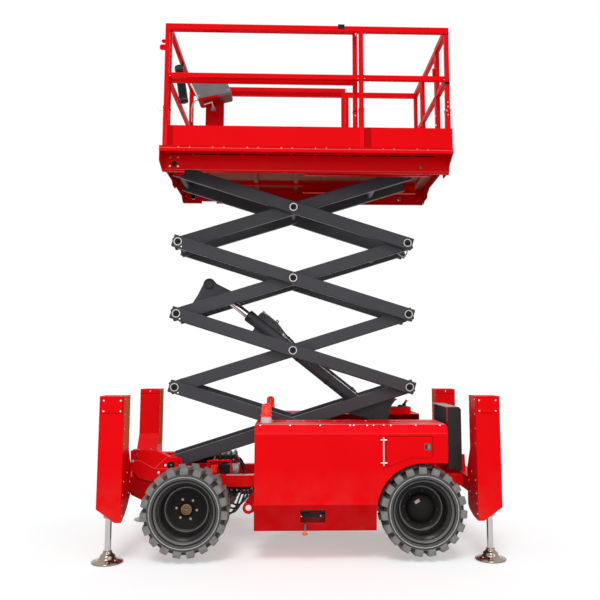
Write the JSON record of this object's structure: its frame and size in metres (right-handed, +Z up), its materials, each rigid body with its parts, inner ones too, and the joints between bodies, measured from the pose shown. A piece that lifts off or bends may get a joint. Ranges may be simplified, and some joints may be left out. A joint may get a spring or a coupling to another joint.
{
  "type": "rough-terrain scissor lift",
  "caption": "Self-propelled scissor lift with a guard-railed sliding-extension platform, four outriggers and four wheels, shown half raised with its outriggers down.",
  "frame": {"origin": "on the ground at the centre of the overall box in plan", "axes": "+X forward, to the steered end with the control box; +Y to the machine's left; +Z up"},
  "size_m": [3.3199, 1.79, 4.523],
  "materials": {
    "red_paint": "satin",
    "charcoal_paint": "satin",
    "black_paint": "satin",
    "chrome": "polished",
    "shaft": "brushed",
    "tyre": "matt",
    "rim": "satin",
    "floor_plate": "brushed",
    "lamp": "gloss",
    "shoe": "matt",
    "engine": "cast"
  },
  "bodies": {
    "chassis": {"main_beams": "red_paint", "cross_members": "red_paint", "lower_carriers": "red_paint", "cover_left": "red_paint", "cover_right": "red_paint", "side_trays": "red_paint", "engine_block": "engine", "outrigger_housings": "red_paint", "axle_beams": "charcoal_paint", "beacons": "lamp", "rear_ladder": "black_paint", "hydraulic_blocks": "red_paint"},
    "service_door_left": {"service_door_left": "red_paint"},
    "service_door_right": {"service_door_right": "red_paint"},
    "knuckle_left": {"knuckle_left": "charcoal_paint"},
    "knuckle_right": {"knuckle_right": "charcoal_paint"},
    "tie_rod": {"tie_rod": "shaft"},
    "outrigger_leg_front_left": {"outrigger_leg_front_left": "chrome"},
    "wheel_front_left": {"rim_front_left": "rim", "tyre_front_left": "tyre"},
    "outrigger_leg_front_right": {"outrigger_leg_front_right": "chrome"},
    "wheel_front_right": {"rim_front_right": "rim", "tyre_front_right": "tyre"},
    "outrigger_leg_rear_left": {"outrigger_leg_rear_left": "chrome"},
    "wheel_rear_left": {"rim_rear_left": "rim", "tyre_rear_left": "tyre"},
    "outrigger_leg_rear_right": {"outrigger_leg_rear_right": "chrome"},
    "wheel_rear_right": {"rim_rear_right": "rim", "tyre_rear_right": "tyre"},
    "inner_pair_1": {"inner_arms_1": "charcoal_paint", "inner_tubes_1": "charcoal_paint"},
    "outer_pair_1": {"outer_arms_1": "charcoal_paint", "outer_shafts_1": "shaft"},
    "inner_pair_2": {"inner_arms_2": "charcoal_paint", "inner_tubes_2": "charcoal_paint"},
    "outer_pair_2": {"outer_arms_2": "charcoal_paint", "outer_shafts_2": "shaft"},
    "inner_pair_3": {"inner_arms_3": "charcoal_paint", "inner_tubes_3": "charcoal_paint"},
    "outer_pair_3": {"outer_arms_3": "charcoal_paint", "outer_shafts_3": "shaft"},
    "inner_pair_4": {"inner_arms_4": "charcoal_paint", "inner_tubes_4": "charcoal_paint"},
    "outer_pair_4": {"outer_arms_4": "charcoal_paint", "outer_shafts_4": "shaft"},
    "lower_slide_shoes": {"lower_slide_shoes": "shoe"},
    "upper_slide_shoes": {"upper_slide_shoes": "shoe"},
    "lift_cylinder_barrel": {"lift_cylinder_barrel": "charcoal_paint"},
    "lift_cylinder_rod": {"lift_cylinder_rod": "chrome"},
    "platform": {"deck_frame": "red_paint", "upper_carriers": "red_paint", "deck_floor": "floor_plate", "toe_boards": "red_paint", "guard_posts": "red_paint", "guard_rails": "red_paint"},
    "entry_gate": {"entry_gate": "red_paint"},
    "extension": {"extension_deck": "floor_plate", "extension_posts": "red_paint", "extension_rails": "red_paint", "control_box": "red_paint"}
  },
  "joints": [
    {"name": "lift", "type": "hinge", "parent": "chassis", "child": "inner_pair_1", "pos_m": [1.114, 0, 0.707], "axis": [0, 1, 0], "range_deg": [-11.85, 38.6]},
    {"name": "stage_1_centre", "type": "hinge", "parent": "inner_pair_1", "child": "outer_pair_1", "pos_m": [0.06763, 0, 1.03391], "axis": [0, 1, 0], "range_deg": [-77.21, 23.71]},
    {"name": "stage_2_front", "type": "hinge", "parent": "outer_pair_1", "child": "inner_pair_2", "pos_m": [1.114, 0, 1.36082], "axis": [0, 1, 0], "range_deg": [-23.71, 77.21]},
    {"name": "stage_2_centre", "type": "hinge", "parent": "inner_pair_2", "child": "outer_pair_2", "pos_m": [0.06763, 0, 1.68773], "axis": [0, 1, 0], "range_deg": [-77.21, 23.71]},
    {"name": "stage_3_front", "type": "hinge", "parent": "outer_pair_2", "child": "inner_pair_3", "pos_m": [1.114, 0, 2.01464], "axis": [0, 1, 0], "range_deg": [-23.71, 77.21]},
    {"name": "stage_3_centre", "type": "hinge", "parent": "inner_pair_3", "child": "outer_pair_3", "pos_m": [0.06763, 0, 2.34155], "axis": [0, 1, 0], "range_deg": [-77.21, 23.71]},
    {"name": "stage_4_front", "type": "hinge", "parent": "outer_pair_3", "child": "inner_pair_4", "pos_m": [1.114, 0, 2.66846], "axis": [0, 1, 0], "range_deg": [-23.71, 77.21]},
    {"name": "stage_4_centre", "type": "hinge", "parent": "inner_pair_4", "child": "outer_pair_4", "pos_m": [0.06763, 0, 2.99537], "axis": [0, 1, 0], "range_deg": [-77.21, 23.71]},
    {"name": "platform_pivot", "type": "hinge", "parent": "outer_pair_4", "child": "platform", "pos_m": [1.114, 0, 3.32228], "axis": [0, 1, 0], "range_deg": [-11.86, 38.61]},
    {"name": "lower_shoe_pivot", "type": "hinge", "parent": "outer_pair_1", "child": "lower_slide_shoes", "pos_m": [-0.97874, 0, 0.707], "axis": [0, 1, 0], "range_deg": [-11.86, 38.61]},
    {"name": "upper_shoe_pivot", "type": "hinge", "parent": "inner_pair_4", "child": "upper_slide_shoes", "pos_m": [-0.97874, 0, 3.32228], "axis": [0, 1, 0], "range_deg": [-38.61, 11.86]},
    {"name": "cylinder_base", "type": "hinge", "parent": "inner_pair_1", "child": "lift_cylinder_barrel", "pos_m": [-0.71266, 0, 1.07235], "axis": [0, 1, 0], "range_deg": [-69.1, 21.22]},
    {"name": "cylinder_stroke", "type": "slide", "parent": "lift_cylinder_barrel", "child": "lift_cylinder_rod", "axis": [0.7852, 0, 0.6192], "range_m": [-0.2855, 0.93]},
    {"name": "outrigger_front_left", "type": "slide", "parent": "chassis", "child": "outrigger_leg_front_left", "axis": [0, 0, 1], "range_m": [0, 0.21]},
    {"name": "outrigger_front_right", "type": "slide", "parent": "chassis", "child": "outrigger_leg_front_right", "axis": [0, 0, 1], "range_m": [0, 0.21]},
    {"name": "outrigger_rear_left", "type": "slide", "parent": "chassis", "child": "outrigger_leg_rear_left", "axis": [0, 0, 1], "range_m": [0, 0.21]},
    {"name": "outrigger_rear_right", "type": "slide", "parent": "chassis", "child": "outrigger_leg_rear_right", "axis": [0, 0, 1], "range_m": [0, 0.21]},
    {"name": "steer_left", "type": "hinge", "parent": "chassis", "child": "knuckle_left", "pos_m": [0.926, 0.512, 0.395], "axis": [0, 0, 1], "range_deg": [-30, 30]},
    {"name": "steer_right", "type": "hinge", "parent": "chassis", "child": "knuckle_right", "pos_m": [0.926, -0.512, 0.395], "axis": [0, 0, 1], "range_deg": [-30, 30]},
    {"name": "tie_rod_end", "type": "hinge", "parent": "knuckle_left", "child": "tie_rod", "pos_m": [0.776, 0.512, 0.291], "axis": [0, 0, 1], "range_deg": [-30, 30]},
    {"name": "wheel_front_left_spin", "type": "hinge", "parent": "knuckle_left", "child": "wheel_front_left", "pos_m": [0.926, 0.725, 0.395], "axis": [0, 1, 0], "continuous": true},
    {"name": "wheel_rear_left_spin", "type": "hinge", "parent": "chassis", "child": "wheel_rear_left", "pos_m": [-0.985, 0.725, 0.395], "axis": [0, 1, 0], "continuous": true},
    {"name": "wheel_front_right_spin", "type": "hinge", "parent": "knuckle_right", "child": "wheel_front_right", "pos_m": [0.926, -0.725, 0.395], "axis": [0, 1, 0], "continuous": true},
    {"name": "wheel_rear_right_spin", "type": "hinge", "parent": "chassis", "child": "wheel_rear_right", "pos_m": [-0.985, -0.725, 0.395], "axis": [0, 1, 0], "continuous": true},
    {"name": "extension_slide", "type": "slide", "parent": "platform", "child": "extension", "axis": [1, 0, 0], "range_m": [0, 0.9]},
    {"name": "gate_hinge", "type": "hinge", "parent": "platform", "child": "entry_gate", "pos_m": [-1.236, 0.3435, 3.945], "axis": [0, 0, 1], "range_deg": [0, 100]},
    {"name": "service_door_left_hinge", "type": "hinge", "parent": "chassis", "child": "service_door_left", "pos_m": [-0.662, 0.884, 0.895], "axis": [0, 0, -1], "range_deg": [0, 110]},
    {"name": "service_door_right_hinge", "type": "hinge", "parent": "chassis", "child": "service_door_right", "pos_m": [-0.662, -0.884, 0.895], "axis": [0, 0, 1], "range_deg": [0, 110]}
  ],
  "couplings": [
    {"joint": "stage_1_centre", "follows": "lift", "ratio": -2},
    {"joint": "stage_2_front", "follows": "lift", "ratio": 2},
    {"joint": "stage_2_centre", "follows": "lift", "ratio": -2},
    {"joint": "stage_3_front", "follows": "lift", "ratio": 2},
    {"joint": "stage_3_centre", "follows": "lift", "ratio": -2},
    {"joint": "stage_4_front", "follows": "lift", "ratio": 2},
    {"joint": "stage_4_centre", "follows": "lift", "ratio": -2},
    {"joint": "platform_pivot", "follows": "lift", "ratio": 1},
    {"joint": "lower_shoe_pivot", "follows": "lift", "ratio": 1},
    {"joint": "upper_shoe_pivot", "follows": "lift", "ratio": -1},
    {"joint": "cylinder_base", "follows": "lift", "ratio": -1.79},
    {"joint": "cylinder_stroke", "follows": "lift", "m_per_rad": 1.38},
    {"joint": "steer_right", "follows": "steer_left", "ratio": 1},
    {"joint": "tie_rod_end", "follows": "steer_left", "ratio": -1}
  ]
}
